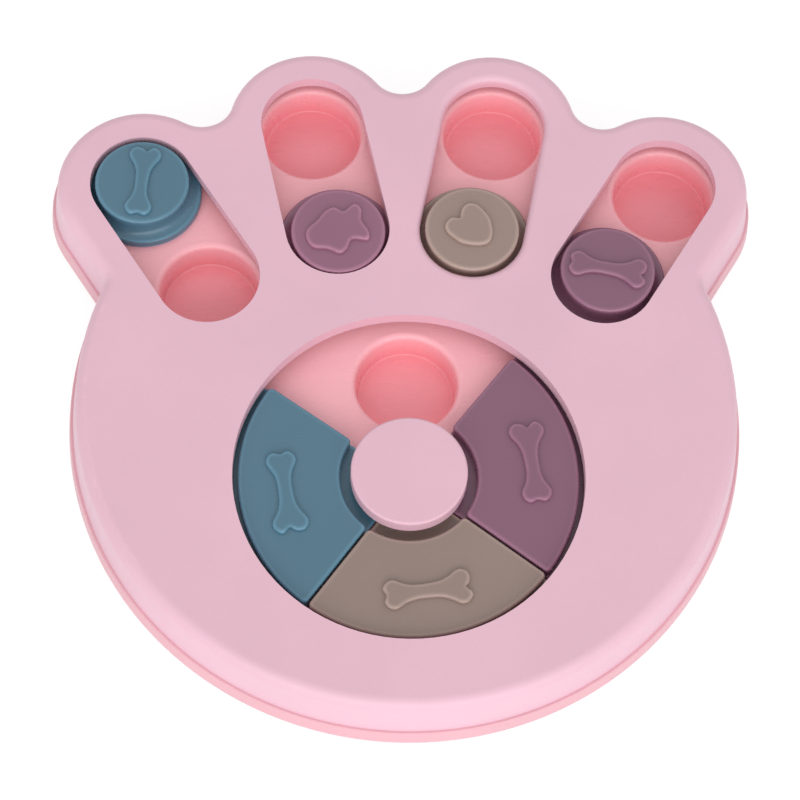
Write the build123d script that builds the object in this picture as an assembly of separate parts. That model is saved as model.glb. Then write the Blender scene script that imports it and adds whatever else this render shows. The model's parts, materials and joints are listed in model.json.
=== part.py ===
from build123d import *
import math
import os

# Paw-shaped treat puzzle toy: a tray with twelve treat cups under a cover with four finger slots and a
# round palm opening. Four sliders run in the slots and three segments turn about a hub in the palm.
# Millimetres, +Z up. The palm wheel's axis is the local origin while the pieces are made, +Y points to
# the fingers, and the finished pieces are moved so that the origin is under the middle of the toy.

# Heights
foot_height = 1.6
rim_height = 8.9
deck_rise = 6.7
cover_height = 17.1
cup_depth = 10.8
slot_lip_depth = 4.6
palm_lip_depth = 5.3

# Walls and edges
cover_wall = 2.2
cover_plate = 2.4
cover_edge_radius = 4.3
opening_edge_radius = 2.5
tray_wall = 2.0
tray_edge_radius = 2.5
cup_wall = 1.6
moving_wall = 2.0
top_edge_radius = 0.9
soft_edge = 0.6

# Clearances
cover_fit = 0.4
running_gap = 0.3
screw_fit = 0.05
hole_clearance = 0.2

# Outline at the cover's top: the palm circle and one lobe round the outer end of each finger slot.
# Below it the walls spread outwards by the drafts, and the tray's rim stands out past the cover.
palm_radius = 113.8
palm_offset = 29.9
lobe_margin = 11.3
valley_radius = 11.8
waist_radius = 5.6
cover_draft = 2.3
rim_overhang = 1.0
rim_draft = 1.0

# Finger slots: place of the inner end and tilt from +Y, for the inner and the outer pair
slot_width = 37.0
slot_length = 44.6
inner_slot_x = 23.9
inner_slot_y = 94.6
inner_slot_tilt = 11.6
outer_slot_x = 69.7
outer_slot_y = 75.4
outer_slot_tilt = 32.4

# Treat cups; a finger's cups stand a little past the ends of its slot
cup_radius = 18.0
cup_draft = 1.2
cup_collar = 2.8
cup_rim_radius = 2.1
cup_floor_radius = 0.8
cup_end_offset = 1.2
palm_cup_distance = 38.4

# Finger sliders
knob_gap = 1.75
knob_rise = 0.2
flange_overlap = 2.5
flange_thickness = 3.4
flange_edge_radius = 0.8
knob_root_radius = 3.2

# How far the left inner slider rests past the inner end of its slot, and the right outer one short of it
left_inner_rest = 1.1
right_outer_rest = 3.4

# Palm wheel
palm_opening_radius = 60.0
segment_gap = 1.8
segment_inner_radius = 23.5
segment_drop = 3.4
segment_pitch = 89.2
segment_side_gap = 0.4
segment_corner_radius = 1.8
segment_flange_overlap = 3.2
segment_flange_thickness = 1.8
segment_flange_play = 0.6
segment_motif_distance = 42.3
post_radius = 13.6
post_gap = 0.4
hub_radius = 19.9
hub_rise = 1.5
hub_disc_height = 5.6
hub_shoulder_radius = 16.5
hub_stem_height = 0.4
post_web = 2.4

# Fasteners and feet
screw_radius = 1.5
screw_head_radius = 3.0
screw_head_height = 2.0
screw_recess_width = 0.9
screw_recess_depth = 1.1
boss_radius = 4.0
case_screw_length = 9.0
hub_screw_length = 8.0
pilot_spare = 0.5
foot_radius = 7.0
foot_plug_radius = 4.0
foot_plug_height = 4.0
foot_socket_wall = 3.5
screw_edge_distance = 12.0
screw_headings = [12, 168, -41, -139, -90]
foot_edge_distance = 14.5
foot_headings = [0, -57]
foot_along_slot = 26.0

# Bone, fish and heart motifs
motif_height = 1.5
motif_edge_radius = 0.8
segment_bone_length = 30.2
slider_bone_length = 28.0
fish_length = 22.0
heart_length = 16.4

# One side of the bone between the notches in its larger and its smaller end, in shares of its length
bone_large_notch = (0.437, 0)
bone_side = [
    (0.482, 0.075),
    (0.475, 0.150),
    (0.375, 0.207),
    (0.260, 0.150),
    (0.140, 0.100),
    (0.000, 0.086),
    (-0.140, 0.088),
    (-0.270, 0.125),
    (-0.385, 0.174),
    (-0.470, 0.135),
    (-0.495, 0.070),
]
bone_small_notch = (-0.472, 0)

# The fish from its nose round by the upper fin, tail and lower fin, in shares of its length
fish_outline = [
    (-0.54, 0.00),
    (-0.48, 0.12),
    (-0.28, 0.25),
    (-0.19, 0.33),
    (0.06, 0.39),
    (0.15, 0.31),
    (0.37, 0.39),
    (0.45, 0.30),
    (0.41, 0.09),
    (0.47, -0.16),
    (0.43, -0.29),
    (0.18, -0.23),
    (0.07, -0.36),
    (-0.08, -0.43),
    (-0.23, -0.32),
    (-0.46, -0.23),
]

# One side of the heart between its notch and its tip, in shares of its length
heart_notch = (0, 0.36)
heart_side = [
    (0.12, 0.45),
    (0.26, 0.49),
    (0.40, 0.44),
    (0.48, 0.30),
    (0.48, 0.12),
    (0.45, -0.07),
    (0.33, -0.28),
    (0.19, -0.43),
]
heart_tip = (0, -0.51)

# Worked out from the sizes above
ledge_z = foot_height + rim_height
deck_z = ledge_z + deck_rise
cover_top = ledge_z + cover_height
plate_z = cover_top - cover_plate
slot_lip_z = cover_top - slot_lip_depth
palm_lip_z = cover_top - palm_lip_depth
moving_bottom = deck_z + running_gap
deck_low = deck_z - tray_wall
cup_floor_z = deck_z - cup_depth
cup_mouth_radius = cup_radius + cup_collar
lobe_radius = slot_width / 2 + lobe_margin
palm_centre = (0, palm_offset)
inner_finger = (inner_slot_x, inner_slot_y, inner_slot_tilt)
outer_finger = (outer_slot_x, outer_slot_y, outer_slot_tilt)
knob_radius = slot_width / 2 - knob_gap
flange_radius = slot_width / 2 + flange_overlap
flange_top = moving_bottom + flange_thickness
knob_top = cover_top + knob_rise
segment_outer_radius = palm_opening_radius - segment_gap
segment_top = cover_top - segment_drop
segment_flange_top = moving_bottom + segment_flange_thickness
segment_flange_radius = palm_opening_radius + segment_flange_overlap
hub_top = cover_top + hub_rise
hub_disc_z = hub_top - hub_disc_height
hub_shoulder_z = segment_flange_top + segment_flange_play
post_top = hub_shoulder_z - hub_stem_height
rim_top_offset = cover_draft + rim_overhang
rim_low_offset = rim_top_offset + rim_draft
deck_offset = cover_draft * (cover_top - deck_z) / cover_height - cover_wall - cover_fit


def finger_point(finger, side, along):
    """Point on a slot's axis, a distance outwards from the centre of its inner end."""
    x, y, tilt = finger
    lean = math.radians(tilt)
    return (side * (x + along * math.sin(lean)), y + along * math.cos(lean))


# The four fingers from left to right
fingers = [(outer_finger, -1), (inner_finger, -1), (inner_finger, 1), (outer_finger, 1)]
lobe_centres = [finger_point(finger, side, slot_length) for finger, side in fingers]
slot_starts = [finger_point(finger, side, 0) for finger, side in fingers]
slot_angles = [90 - side * finger[2] for finger, side in fingers]
back_y = max(y for x, y in lobe_centres) + lobe_radius + rim_low_offset
front_y = palm_offset - palm_radius - rim_low_offset
middle_y = (back_y + front_y) / 2

# Where the sliders and segments stand at rest: along their slots, and as headings about the hub
slider_rest = [slot_length, -left_inner_rest, 0, right_outer_rest]
front_heading = 277.75
segment_rest = {
    "left_segment": front_heading - segment_pitch,
    "front_segment": front_heading,
    "right_segment": front_heading + segment_pitch,
}
slider_motif_angle = [84.5, 13.8, 45.0, -11.5]


def between(first, second):
    return ((first[0] + second[0]) / 2, (first[1] + second[1]) / 2)


def on_palm_ring(edge_distance, heading):
    """Point inside the palm circle's edge, at a heading from the circle's centre."""
    reach = palm_radius - edge_distance
    turn = math.radians(heading)
    return (reach * math.cos(turn), palm_offset + reach * math.sin(turn))


screw_places = [between(*pair) for pair in zip(lobe_centres, lobe_centres[1:])]
screw_places += [on_palm_ring(screw_edge_distance, heading) for heading in screw_headings]
foot_places = {
    "foot_side_right": on_palm_ring(foot_edge_distance, foot_headings[0]),
    "foot_side_left": on_palm_ring(foot_edge_distance, 180 - foot_headings[0]),
    "foot_front_right": on_palm_ring(foot_edge_distance, foot_headings[1]),
    "foot_front_left": on_palm_ring(foot_edge_distance, 180 - foot_headings[1]),
}
for side_name, side in (("left", -1), ("right", 1)):
    neighbours = [finger_point(finger, side, foot_along_slot) for finger in (inner_finger, outer_finger)]
    foot_places[f"foot_finger_{side_name}"] = between(*neighbours)


def cylinder(centre, radius, low, high):
    return extrude(Pos(centre[0], centre[1], low) * Circle(radius), high - low)


def cone(centre, low_radius, high_radius, low, high):
    height = high - low
    up = (Align.CENTER, Align.CENTER, Align.MIN)
    return Pos(centre[0], centre[1], low) * Cone(low_radius, high_radius, height, align=up)


def prism(sketch, low, high):
    return extrude(Pos(0, 0, low) * sketch, high - low)


def touching_centre(first, first_reach, second, second_reach):
    """Point at two given distances from two points, on the left of the way from first to second."""
    dx = second[0] - first[0]
    dy = second[1] - first[1]
    apart = math.hypot(dx, dy)
    along = (apart**2 + first_reach**2 - second_reach**2) / (2 * apart)
    across = math.sqrt(first_reach**2 - along**2)
    return (
        first[0] + (dx * along - dy * across) / apart,
        first[1] + (dy * along + dx * across) / apart,
    )


def round_arc(centre, radius, start, end, clockwise):
    """Arc about centre between the directions of two points."""
    begin = math.atan2(start[1] - centre[1], start[0] - centre[0])
    finish = math.atan2(end[1] - centre[1], end[0] - centre[0])
    turn = (finish - begin) % (2 * math.pi)
    if clockwise:
        turn -= 2 * math.pi
    points = []
    for share in (0, 0.5, 1):
        angle = begin + share * turn
        points.append((centre[0] + radius * math.cos(angle), centre[1] + radius * math.sin(angle)))
    return ThreePointArc(*points)


def outer_normal(side):
    """Direction across an outer slot, away from the other fingers."""
    lean = math.radians(outer_finger[2])
    return (side * math.cos(lean), -math.sin(lean))


def moved(point, direction, distance):
    return (point[0] + direction[0] * distance, point[1] + direction[1] * distance)


def waist_centre(side):
    """Centre of the hollow arc that joins the palm circle to an outer finger's straight side."""
    abreast = moved(finger_point(outer_finger, side, 0), outer_normal(side), lobe_radius + waist_radius)
    lean = math.radians(outer_finger[2])
    axis = (side * math.sin(lean), math.cos(lean))
    dx = abreast[0] - palm_centre[0]
    dy = abreast[1] - palm_centre[1]
    lead = dx * axis[0] + dy * axis[1]
    aside = dx * axis[1] - dy * axis[0]
    along = math.sqrt((palm_radius + waist_radius) ** 2 - aside**2) - lead
    return moved(abreast, axis, along)


def outer_finger_side(side, offset):
    """Straight side of an outer finger, from the waist to its lobe."""
    normal = outer_normal(side)
    lobe = finger_point(outer_finger, side, slot_length)
    return [
        moved(waist_centre(side), normal, offset - waist_radius),
        moved(lobe, normal, lobe_radius + offset),
    ]


def paw_outline(offset):
    """The outline at the cover's top, grown by offset: palm circle, fingers and the hollows between them."""
    left_waist = waist_centre(-1)
    right_waist = waist_centre(1)
    left_side = outer_finger_side(-1, offset)
    right_side = outer_finger_side(1, offset)
    lobes = lobe_centres[::-1]
    reach = lobe_radius + valley_radius
    valleys = [touching_centre(b, reach, a, reach) for a, b in zip(lobes, lobes[1:])]
    turns = [right_side[1]] + valleys + [left_side[1]]
    curves = [round_arc(palm_centre, palm_radius + offset, left_waist, right_waist, False)]
    curves.append(round_arc(right_waist, waist_radius - offset, palm_centre, right_side[0], True))
    curves.append(Line(*right_side))
    for i, lobe in enumerate(lobes):
        curves.append(round_arc(lobe, lobe_radius + offset, turns[i], turns[i + 1], False))
        if i < len(valleys):
            curves.append(round_arc(valleys[i], valley_radius - offset, lobe, lobes[i + 1], True))
    curves.append(Line(*reversed(left_side)))
    curves.append(round_arc(left_waist, waist_radius - offset, left_side[0], palm_centre, True))
    return make_face(curves)


def drafted(low_offset, high_offset, low, high):
    """Paw-shaped block whose outline changes evenly from the low to the high offset."""
    slope = math.degrees(math.atan2(low_offset - high_offset, high - low))
    return extrude(Pos(0, 0, low) * paw_outline(low_offset), high - low, taper=slope)


def slot_shape(index, grow):
    """One finger slot, grown all round."""
    slot = SlotCenterToCenter(slot_length, slot_width + 2 * grow, rotation=slot_angles[index])
    return Pos(*between(slot_starts[index], lobe_centres[index])) * slot


def cup_centres():
    near = [finger_point(finger, side, -cup_end_offset) for finger, side in fingers]
    far = [finger_point(finger, side, slot_length + cup_end_offset) for finger, side in fingers]
    quarter_turns = [i * math.pi / 2 for i in range(4)]
    palm = [(palm_cup_distance * math.cos(a), palm_cup_distance * math.sin(a)) for a in quarter_turns]
    return near + far + palm


def make_cover():
    cover = drafted(cover_draft, 0, ledge_z, cover_top)
    cover = fillet(cover.faces().sort_by(Axis.Z)[-1].edges(), cover_edge_radius)
    plate_offset = cover_draft * cover_plate / cover_height
    hollow = drafted(cover_draft - cover_wall, plate_offset - cover_wall, ledge_z, plate_z)
    hollow = fillet(hollow.faces().sort_by(Axis.Z)[-1].edges(), cover_edge_radius - cover_wall)
    cover -= hollow
    for i in range(len(fingers)):
        cover += prism(slot_shape(i, cover_wall), slot_lip_z, plate_z)
    cover += cylinder((0, 0), palm_opening_radius + cover_wall, palm_lip_z, plate_z)
    for place in screw_places:
        cover += cylinder(place, boss_radius, deck_z, plate_z)
    for i in range(len(fingers)):
        cover -= prism(slot_shape(i, 0), ledge_z, cover_top)
    cover -= cylinder((0, 0), palm_opening_radius, ledge_z, cover_top)
    opening_edges = [w.edges() for w in cover.faces().sort_by(Axis.Z)[-1].inner_wires()]
    for edges in opening_edges:
        cover = fillet(edges, opening_edge_radius)
    pilot_top = deck_low + case_screw_length + pilot_spare
    for place in screw_places:
        cover -= cylinder(place, screw_radius + screw_fit, deck_z, pilot_top)
    return cover


def make_tray():
    """Stepped wall of the tray: a rim on the outside, a ledge for the cover and an upstand round the deck."""
    ledge_low = ledge_z - tray_wall
    rim = drafted(rim_low_offset, rim_top_offset, foot_height, ledge_z)
    rim = fillet(rim.faces().sort_by(Axis.Z)[0].edges(), tray_edge_radius)
    rim = fillet(rim.faces().sort_by(Axis.Z)[-1].edges(), soft_edge)
    tray = rim + prism(paw_outline(deck_offset), ledge_z, deck_z)
    tray -= prism(paw_outline(rim_top_offset - tray_wall), foot_height, ledge_low)
    return tray - prism(paw_outline(deck_offset - tray_wall), ledge_low, deck_z)


def make_deck():
    """Flat floor of the tray, with a hole for each cup, the hub's post and the screws."""
    deck = prism(paw_outline(deck_offset - tray_wall), deck_low, deck_z)
    for centre in cup_centres():
        deck -= cylinder(centre, cup_mouth_radius, deck_low, deck_z)
    for place in screw_places:
        deck -= cylinder(place, screw_radius + hole_clearance, deck_low, deck_z)
    return deck - cylinder((0, 0), post_radius, deck_low, deck_z)


def make_post():
    """Hollow post that carries the hub cap, closed by a web for the screw."""
    post = cylinder((0, 0), post_radius, deck_low, post_top)
    post -= cylinder((0, 0), post_radius - tray_wall, deck_low, post_top - post_web)
    return post - cylinder((0, 0), screw_radius + hole_clearance, deck_low, post_top)


def make_foot_socket(place):
    socket = cylinder(place, foot_plug_radius + foot_socket_wall, foot_height, deck_low)
    plug_top = foot_height + foot_plug_height + pilot_spare
    return socket - cylinder(place, foot_plug_radius + screw_fit, foot_height, plug_top)


def make_cup(centre):
    """Treat cup with a drafted wall and a rounded rim in a collar that is flush with the deck around it."""
    floor_radius = cup_radius - cup_draft
    cup = cone(centre, floor_radius + cup_wall, cup_radius + cup_wall, cup_floor_z - cup_wall, deck_low)
    cup += cylinder(centre, cup_mouth_radius, deck_low, deck_z)
    cup -= cone(centre, floor_radius, cup_radius, cup_floor_z, deck_z)
    top_edges = cup.faces().sort_by(Axis.Z)[-1].edges()
    cup = fillet(top_edges.sort_by(SortBy.RADIUS)[0], cup_rim_radius)
    floor = cup.faces().filter_by(GeomType.PLANE).sort_by(Axis.Z)[1]
    return fillet(floor.edges(), cup_floor_radius)


def make_hub_cap():
    cap = cylinder((0, 0), hub_radius, hub_disc_z, hub_top)
    cap = fillet(cap.faces().sort_by(Axis.Z)[-1].edges(), top_edge_radius)
    cap += cylinder((0, 0), hub_shoulder_radius, hub_shoulder_z, hub_disc_z)
    cap += cylinder((0, 0), post_radius, post_top, hub_shoulder_z)
    pilot_top = post_top - post_web + hub_screw_length + pilot_spare
    return cap - cylinder((0, 0), screw_radius + screw_fit, post_top, pilot_top)


def make_screw(place, seat_z, length):
    """Pan head screw driven upwards, with its head under seat_z."""
    head = cylinder(place, screw_head_radius, seat_z - screw_head_height, seat_z)
    head = fillet(head.faces().sort_by(Axis.Z)[0].edges(), soft_edge)
    recess_size = (2 * screw_head_radius - 2 * soft_edge, screw_recess_width)
    cross = Rectangle(*recess_size) + Rectangle(*reversed(recess_size))
    low = seat_z - screw_head_height
    head -= extrude(Pos(place[0], place[1], low) * cross, screw_recess_depth)
    return head + cylinder(place, screw_radius, seat_z, seat_z + length)


def make_foot(place):
    pad = cylinder(place, foot_radius, 0, foot_height)
    pad = fillet(pad.faces().sort_by(Axis.Z)[0].edges(), soft_edge)
    return pad + cylinder(place, foot_plug_radius, foot_height, foot_height + foot_plug_height)


def smooth_shape(points, length):
    """Closed smooth outline through points given in shares of a length."""
    return make_face(Spline(*[(x * length, y * length) for x, y in points], periodic=True))


def raised_motif(sketch, base_z):
    """Motif standing on a flat face, with its upper edge rounded."""
    motif = prism(sketch, base_z, base_z + motif_height)
    return fillet(motif.faces().sort_by(Axis.Z)[-1].edges(), motif_edge_radius)


def bone_shape(length):
    """Bone along X with two knuckles at each end, the larger end to the right."""
    other_side = [(x, -y) for x, y in reversed(bone_side)]
    return smooth_shape([bone_large_notch] + bone_side + [bone_small_notch] + other_side, length)


def fish_shape():
    """Fish with its nose to the left, a fin above and below, and a forked tail."""
    return smooth_shape(fish_outline, fish_length)


def heart_shape():
    """Heart with its tip towards -Y."""
    other_side = [(-x, y) for x, y in reversed(heart_side)]
    return smooth_shape([heart_notch] + heart_side + [heart_tip] + other_side, heart_length)


def make_slider(index, motif):
    """Round knob with a flange that the cover holds down, hollow from below."""
    slider = cylinder((0, 0), flange_radius, moving_bottom, flange_top)
    slider = fillet(slider.faces().sort_by(Axis.Z)[-1].edges(), flange_edge_radius)
    knob = cylinder((0, 0), knob_radius, flange_top, knob_top)
    knob = fillet(knob.faces().sort_by(Axis.Z)[-1].edges(), top_edge_radius)
    slider += knob
    root = slider.edges().filter_by(GeomType.CIRCLE).filter_by_position(Axis.Z, flange_top, flange_top)
    slider = fillet(root.sort_by(SortBy.RADIUS)[0], knob_root_radius)
    slider -= cylinder((0, 0), knob_radius - moving_wall, moving_bottom, knob_top - moving_wall)
    slider += raised_motif(Rot(0, 0, slider_motif_angle[index]) * motif, knob_top)
    place = finger_point(*fingers[index], slider_rest[index])
    return Pos(*place) * slider


def wedge(inner, outer, side_gap, corner):
    """Ring segment about +X whose straight sides stand a gap inside the pitch lines."""
    half = math.radians(segment_pitch / 2)
    apex = side_gap / math.sin(half)
    far = 2 * outer
    spread = (apex + far * math.cos(half), far * math.sin(half))
    triangle = make_face(Polyline((apex, 0), spread, (spread[0], -spread[1]), close=True))
    ring = (Circle(outer) - Circle(inner)) & triangle
    return fillet(ring.vertices(), corner)


def make_segment(heading):
    """Wheel segment: raised body on a flange that runs under the hub cap and the cover, hollow below."""
    corner = segment_corner_radius
    body_shape = wedge(segment_inner_radius, segment_outer_radius, segment_side_gap, corner)
    body = prism(body_shape, moving_bottom, segment_top)
    body = fillet(body.faces().sort_by(Axis.Z)[-1].edges(), top_edge_radius)
    flange_shape = wedge(post_radius + post_gap, segment_flange_radius, segment_side_gap, soft_edge)
    segment = body + prism(flange_shape, moving_bottom, segment_flange_top)
    hollow = wedge(
        segment_inner_radius + moving_wall,
        segment_outer_radius - moving_wall,
        segment_side_gap + moving_wall,
        soft_edge,
    )
    segment -= prism(hollow, moving_bottom, segment_top - moving_wall)
    motif = Pos(segment_motif_distance, 0) * Rot(0, 0, 90) * bone_shape(segment_bone_length)
    segment += raised_motif(motif, segment_top)
    return Rot(0, 0, heading) * segment


os.makedirs("parts", exist_ok=True)
slider_names = ["left_outer_slider", "left_inner_slider", "right_inner_slider", "right_outer_slider"]
slider_bone = bone_shape(slider_bone_length)
slider_motifs = [slider_bone, fish_shape(), heart_shape(), slider_bone]

pieces = {"top_cover": make_cover(), "base_tray": make_tray(), "deck_plate": make_deck()}
pieces["treat_cups"] = Compound([make_cup(centre) for centre in cup_centres()])
pieces["foot_sockets"] = Compound([make_foot_socket(place) for place in foot_places.values()])
pieces["hub_post"] = make_post()
pieces["hub_cap"] = make_hub_cap()
pieces["hub_screw"] = make_screw((0, 0), post_top - post_web, hub_screw_length)
case_screws = [make_screw(place, deck_low, case_screw_length) for place in screw_places]
pieces["case_screws"] = Compound(case_screws)
for index, name in enumerate(slider_names):
    pieces[name] = make_slider(index, slider_motifs[index])
for name, heading in segment_rest.items():
    pieces[name] = make_segment(heading)
for name, place in foot_places.items():
    pieces[name] = make_foot(place)

for name, shape in pieces.items():
    export_step(Pos(0, -middle_y, 0) * shape, f"parts/{name}.step")
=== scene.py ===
import bpy
import json
import math
from mathutils import Matrix, Vector

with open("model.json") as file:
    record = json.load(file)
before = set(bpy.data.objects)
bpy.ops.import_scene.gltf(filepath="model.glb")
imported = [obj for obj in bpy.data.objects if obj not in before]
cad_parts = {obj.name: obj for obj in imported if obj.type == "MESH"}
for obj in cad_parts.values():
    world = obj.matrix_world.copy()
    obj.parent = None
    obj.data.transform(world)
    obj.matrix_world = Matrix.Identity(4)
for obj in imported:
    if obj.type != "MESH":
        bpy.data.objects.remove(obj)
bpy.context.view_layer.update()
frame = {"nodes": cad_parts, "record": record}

# Camera, as the photograph was taken: metres, degrees, and millimetres for the lens
camera_target = Vector((-0.002750, -0.015071, 0.027600))
camera_distance = 0.87686
camera_azimuth = -5.073
camera_elevation = 64.397
camera_roll = 4.692
camera_lens = 114.86
camera_near = 0.01

# Colours of the plastics, feet and screws, linear
cover_pink = (0.735, 0.455, 0.545)
rim_pink = (0.720, 0.385, 0.440)
# Deck: same moulding as the rim, brighter and deeper pink as painted bounce light in its recess
bounce_lit_deck_pink = (0.970, 0.460, 0.510)
# Deeper pink of the cup floors: painted shade of the cups' depth
painted_cup_shade_pink = (0.970, 0.350, 0.400)
blue = (0.072, 0.166, 0.232)
taupe = (0.270, 0.196, 0.170)
mauve = (0.215, 0.095, 0.150)
taupe_knob = (0.298, 0.213, 0.184)
mauve_knob = (0.262, 0.112, 0.175)
foot_grey = (0.610, 0.540, 0.550)
steel_grey = (0.560, 0.555, 0.550)

# Noise in the materials: features per metre, detail, and how much finer it is along each axis
flow_marks = (28, 3, (1, 1, 1))
speckle = (1500, 2, (1, 1, 1))
rub_marks = (60, 6, (1, 4, 1))
spark_grain = (2600, 3, (1, 1, 1))
rubber_mottle = (220, 5, (1, 1, 1))
rubber_sheen = (400, 4, (1, 1, 1))
rubber_grain = (1800, 4, (1, 1, 1))
turning_marks = (900, 3, (1, 1, 8))
zinc_sheen = (300, 4, (1, 1, 1))

# Noise values that give the two ends of each range below
noise_range = (0.3, 0.7)

# Factors on the colour that the noise gives
flow_shades = (0.975, 1.025)
speckle_shades = (0.985, 1.015)
mottle_shades = (0.90, 1.06)
turning_shades = (0.88, 1.08)

# Roughness that the noise gives; the movers are the sliders and the segments
cover_roughness = (0.34, 0.44)
deck_roughness = (0.24, 0.34)
mover_roughness = (0.20, 0.30)
rubber_roughness = (0.70, 0.86)
steel_roughness = (0.24, 0.40)

# Bump of each surface: strength, and height in metres
plastic_bump = (0.12, 0.0001)
rubber_bump = (0.25, 0.0002)
steel_bump = (0.10, 0.0001)

# Refractive index of the plastics
plastic_index = 1.49

# Painted highlight along the edges of the movers: how much lighter they are, and how far it reaches, in
# metres
edge_lightening = 1.85
highlight_reach = 0.0016

# Rays into the piece that tell an edge, and the share of them that stays inside it for that reach,
# where the painted highlight is full and where there is none
highlight_samples = 8
full_highlight_share = 0.60
no_highlight_share = 0.95

# Heights in the treat cups, in metres, between which the tray's pink deepens towards the floor as
# painted shade
cup_floor_z = 0.0064
cup_rim_z = 0.0160

# Light: strength of the world, and the lamp's watts, size and place in metres
world_light = 0.76
key_power = 100.0
key_size = (6.0, 3.0)
key_place = Vector((0.0, -3.03, 1.75))

# Floor: height, just under the feet, half its side, and how it reflects and glows
floor_z = -0.0002
floor_half = 2.0
floor_roughness = 0.9
floor_white = 0.92
floor_glow = 0.80
floor_shadow = 0.28


def grey(level):
    """An opaque grey, white at level 1."""
    return (level, level, level, 1)


def new_material(name):
    """A material with its node tree and its shader."""
    material = bpy.data.materials.new(name)
    material.use_nodes = True
    tree = material.node_tree
    shader = tree.nodes["Principled BSDF"]
    return material, tree, shader


def noise(tree, grain):
    """Noise over the object's own coordinates."""
    scale, detail, fineness = grain
    coordinates = tree.nodes.new("ShaderNodeTexCoord")
    mapping = tree.nodes.new("ShaderNodeMapping")
    mapping.inputs["Scale"].default_value = fineness
    texture = tree.nodes.new("ShaderNodeTexNoise")
    texture.inputs["Scale"].default_value = scale
    texture.inputs["Detail"].default_value = detail
    tree.links.new(coordinates.outputs["Object"], mapping.inputs["Vector"])
    tree.links.new(mapping.outputs["Vector"], texture.inputs["Vector"])
    return texture.outputs["Fac"]


def mapped(tree, value, target, source=noise_range):
    """A value in the source range brought to the target range."""
    node = tree.nodes.new("ShaderNodeMapRange")
    names = ("From Min", "From Max", "To Min", "To Max")
    for name, limit in zip(names, (*source, *target)):
        node.inputs[name].default_value = limit
    tree.links.new(value, node.inputs["Value"])
    return node.outputs["Result"]


def tinted(tree, colour, factor):
    """A colour made darker or lighter by a factor that varies over the surface."""
    node = tree.nodes.new("ShaderNodeVectorMath")
    node.operation = "SCALE"
    if isinstance(colour, tuple):
        node.inputs[0].default_value = colour
    else:
        tree.links.new(colour, node.inputs[0])
    tree.links.new(factor, node.inputs["Scale"])
    return node.outputs["Vector"]


def painted_depth_shade(tree, low_colour, high_colour, heights):
    """A colour that changes evenly with the height on the object, here a painted shade that deepens
    towards the cup floor.
    """
    coordinates = tree.nodes.new("ShaderNodeTexCoord")
    parts = tree.nodes.new("ShaderNodeSeparateXYZ")
    tree.links.new(coordinates.outputs["Object"], parts.inputs["Vector"])
    ramp = tree.nodes.new("ShaderNodeValToRGB")
    for element, colour in zip(ramp.color_ramp.elements, (low_colour, high_colour)):
        element.color = (*colour, 1)
    tree.links.new(mapped(tree, parts.outputs["Z"], (0, 1), heights), ramp.inputs["Fac"])
    return ramp.outputs["Color"]


def joined(tree, operation, first, second):
    """The result of a math operation on two values."""
    node = tree.nodes.new("ShaderNodeMath")
    node.operation = operation
    tree.links.new(first, node.inputs[0])
    tree.links.new(second, node.inputs[1])
    return node.outputs["Value"]


def painted_edge_highlight(tree):
    """Painted edge highlight: a factor that rises from 1 to the lightening along convex edges, where the
    piece is thin.
    """
    depth = tree.nodes.new("ShaderNodeAmbientOcclusion")
    depth.inside = True
    depth.only_local = True
    depth.samples = highlight_samples
    depth.inputs["Distance"].default_value = highlight_reach
    return mapped(tree, depth.outputs["AO"], (edge_lightening, 1), (full_highlight_share, no_highlight_share))


def bumped(tree, shader, height, bump):
    """Gives the shader a bump from a height that varies over the surface."""
    strength, distance = bump
    node = tree.nodes.new("ShaderNodeBump")
    node.inputs["Strength"].default_value = strength
    node.inputs["Distance"].default_value = distance
    tree.links.new(height, node.inputs["Height"])
    tree.links.new(node.outputs["Normal"], shader.inputs["Normal"])


def plastic(name, colour, roughness, cup_shade_colour=None, painted_highlight=False):
    """Satin moulded plastic: flow marks and speckle in the colour, a fine grain and faint rub marks,
    with a painted edge highlight and a painted shade towards the cup floor where asked.
    """
    material, tree, shader = new_material(name)
    # Painted shade: the pink deepens towards the cup floor
    if cup_shade_colour:
        colour = painted_depth_shade(tree, cup_shade_colour, colour, (cup_floor_z, cup_rim_z))
    flow = mapped(tree, noise(tree, flow_marks), flow_shades)
    specks = mapped(tree, noise(tree, speckle), speckle_shades)
    shade = joined(tree, "MULTIPLY", flow, specks)
    # Painted highlight along convex edges
    if painted_highlight:
        shade = joined(tree, "MULTIPLY", shade, painted_edge_highlight(tree))
    tree.links.new(tinted(tree, colour, shade), shader.inputs["Base Color"])
    tree.links.new(mapped(tree, noise(tree, rub_marks), roughness), shader.inputs["Roughness"])
    bumped(tree, shader, noise(tree, spark_grain), plastic_bump)
    shader.inputs["IOR"].default_value = plastic_index
    return material


def rubber(name, colour):
    """Matte rubber with a mottled surface."""
    material, tree, shader = new_material(name)
    mottle = mapped(tree, noise(tree, rubber_mottle), mottle_shades)
    tree.links.new(tinted(tree, colour, mottle), shader.inputs["Base Color"])
    tree.links.new(mapped(tree, noise(tree, rubber_sheen), rubber_roughness), shader.inputs["Roughness"])
    bumped(tree, shader, noise(tree, rubber_grain), rubber_bump)
    return material


def steel(name, colour):
    """Zinc-plated steel with fine turning marks."""
    material, tree, shader = new_material(name)
    marks = noise(tree, turning_marks)
    shade = mapped(tree, marks, turning_shades)
    tree.links.new(tinted(tree, colour, shade), shader.inputs["Base Color"])
    tree.links.new(mapped(tree, noise(tree, zinc_sheen), steel_roughness), shader.inputs["Roughness"])
    bumped(tree, shader, marks, steel_bump)
    shader.inputs["Metallic"].default_value = 1.0
    return material


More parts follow.
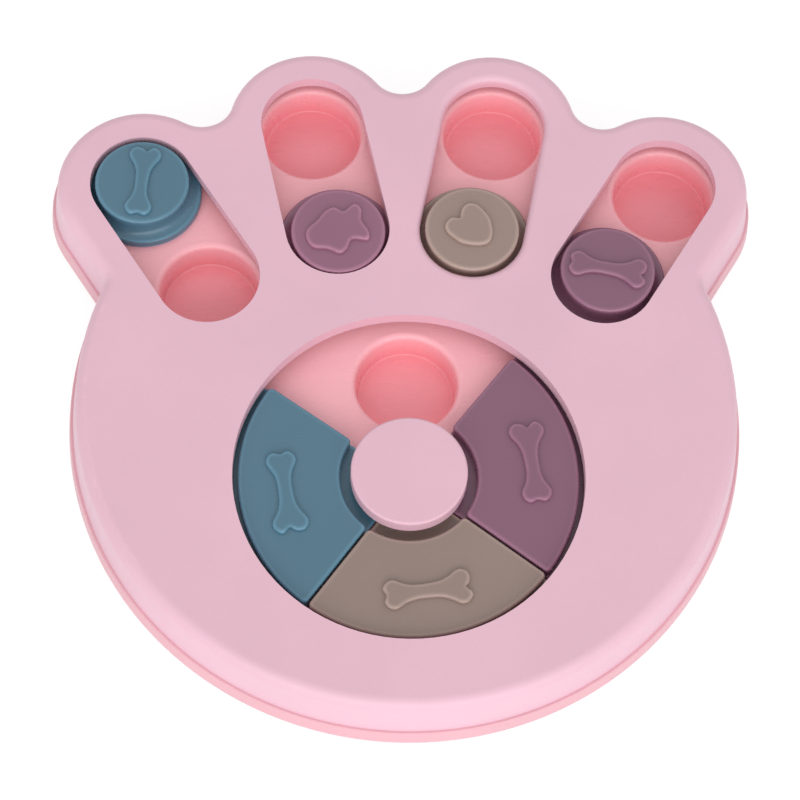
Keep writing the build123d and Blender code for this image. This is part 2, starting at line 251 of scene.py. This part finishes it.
def dress_nodes():
    """Gives every CAD node its own material, or else the material of its slot in the record."""
    materials = {
        "cover_pink": plastic("cover_plastic", cover_pink, cover_roughness),
        # The deck: the rim's pink brightened and deepened as painted bounce light
        "tray_pink": plastic("deck_plastic", bounce_lit_deck_pink, deck_roughness),
        # The movers get a painted highlight along their edges
        "blue": plastic("blue_plastic", blue, mover_roughness, painted_highlight=True),
        "taupe": plastic("taupe_plastic", taupe, mover_roughness, painted_highlight=True),
        "mauve": plastic("mauve_plastic", mauve, mover_roughness, painted_highlight=True),
        "foot_rubber": rubber("foot_rubber", foot_grey),
        "screw_steel": steel("screw_steel", steel_grey),
    }
    own_materials = {
        "base_tray": plastic("rim_plastic", rim_pink, cover_roughness),
        # The cups: pink deepening towards the floor as painted shade
        "treat_cups": plastic("cup_plastic", bounce_lit_deck_pink, deck_roughness, painted_cup_shade_pink),
        # The knobs get a painted highlight along their edges
        "left_inner_slider": plastic("mauve_knob_plastic", mauve_knob, mover_roughness, painted_highlight=True),
        "right_inner_slider": plastic("taupe_knob_plastic", taupe_knob, mover_roughness, painted_highlight=True),
    }
    for subpart in frame["record"]["subparts"]:
        name = subpart["node"]
        material = own_materials.get(name, materials[subpart["material_slot"]])
        for slot in frame["nodes"][name].material_slots:
            slot.material = material


def seen_directly(tree):
    """1 for camera, glossy and transmission rays, so that these see the white surroundings."""
    path = tree.nodes.new("ShaderNodeLightPath")
    total = path.outputs["Is Camera Ray"]
    for name in ("Is Glossy Ray", "Is Transmission Ray"):
        total = joined(tree, "MAXIMUM", total, path.outputs[name])
    return total


def make_world():
    """Even light from all sides, with plain white where the surroundings are seen."""
    world = bpy.data.worlds.new("studio")
    bpy.context.scene.world = world
    world.use_nodes = True
    tree = world.node_tree
    lighting = tree.nodes["Background"]
    lighting.inputs["Color"].default_value = grey(1)
    lighting.inputs["Strength"].default_value = world_light
    backdrop = tree.nodes.new("ShaderNodeBackground")
    backdrop.inputs["Color"].default_value = grey(1)
    mix = tree.nodes.new("ShaderNodeMixShader")
    tree.links.new(seen_directly(tree), mix.inputs["Fac"])
    tree.links.new(lighting.outputs["Background"], mix.inputs[1])
    tree.links.new(backdrop.outputs["Background"], mix.inputs[2])
    tree.links.new(mix.outputs["Shader"], tree.nodes["World Output"].inputs["Surface"])


def make_floor():
    """White floor that keeps a faint shadow of the object."""
    mesh = bpy.data.meshes.new("floor")
    sides = ((-1, -1), (1, -1), (1, 1), (-1, 1))
    corners = [(x * floor_half, y * floor_half, floor_z) for x, y in sides]
    mesh.from_pydata(corners, [], [(0, 1, 2, 3)])
    floor = bpy.data.objects.new("floor", mesh)
    bpy.context.scene.collection.objects.link(floor)
    material, tree, shader = new_material("floor_paper")
    mesh.materials.append(material)
    shader.inputs["Base Color"].default_value = grey(floor_white)
    shader.inputs["Roughness"].default_value = floor_roughness
    glow = tree.nodes.new("ShaderNodeEmission")
    glow.inputs["Strength"].default_value = floor_glow
    dim = tree.nodes.new("ShaderNodeBsdfDiffuse")
    dim.inputs["Color"].default_value = grey(floor_shadow)
    white = tree.nodes.new("ShaderNodeAddShader")
    tree.links.new(glow.outputs["Emission"], white.inputs[0])
    tree.links.new(dim.outputs["BSDF"], white.inputs[1])
    mix = tree.nodes.new("ShaderNodeMixShader")
    tree.links.new(seen_directly(tree), mix.inputs["Fac"])
    tree.links.new(shader.outputs["BSDF"], mix.inputs[1])
    tree.links.new(white.outputs["Shader"], mix.inputs[2])
    tree.links.new(mix.outputs["Shader"], tree.nodes["Material Output"].inputs["Surface"])


def make_key_light():
    """Large soft light in front of the toy."""
    data = bpy.data.lights.new("key", "AREA")
    data.shape = "RECTANGLE"
    data.size, data.size_y = key_size
    data.energy = key_power
    lamp = bpy.data.objects.new("key", data)
    lamp.location = key_place
    lamp.rotation_euler = (-key_place).to_track_quat("-Z", "Y").to_euler()
    bpy.context.scene.collection.objects.link(lamp)


def make_camera():
    """Camera that looks at its target from its azimuth and elevation, rolled about its line of sight."""
    azimuth = math.radians(camera_azimuth)
    elevation = math.radians(camera_elevation)
    roll = math.radians(camera_roll)
    level = math.cos(elevation)
    back = Vector((math.sin(azimuth) * level, -math.cos(azimuth) * level, math.sin(elevation)))
    right = Vector((0, 0, 1)).cross(back).normalized()
    up = back.cross(right)
    rolled_right = math.cos(roll) * right + math.sin(roll) * up
    rolled_up = math.cos(roll) * up - math.sin(roll) * right
    turn = Matrix((rolled_right, rolled_up, back)).transposed().to_4x4()
    data = bpy.data.cameras.new("camera")
    data.lens = camera_lens
    data.clip_start = camera_near
    camera = bpy.data.objects.new("camera", data)
    camera.matrix_world = Matrix.Translation(camera_target + back * camera_distance) @ turn
    bpy.context.scene.collection.objects.link(camera)
    bpy.context.scene.camera = camera


bpy.context.scene.view_settings.view_transform = "Standard"
dress_nodes()
make_world()
make_floor()
make_key_light()
make_camera()
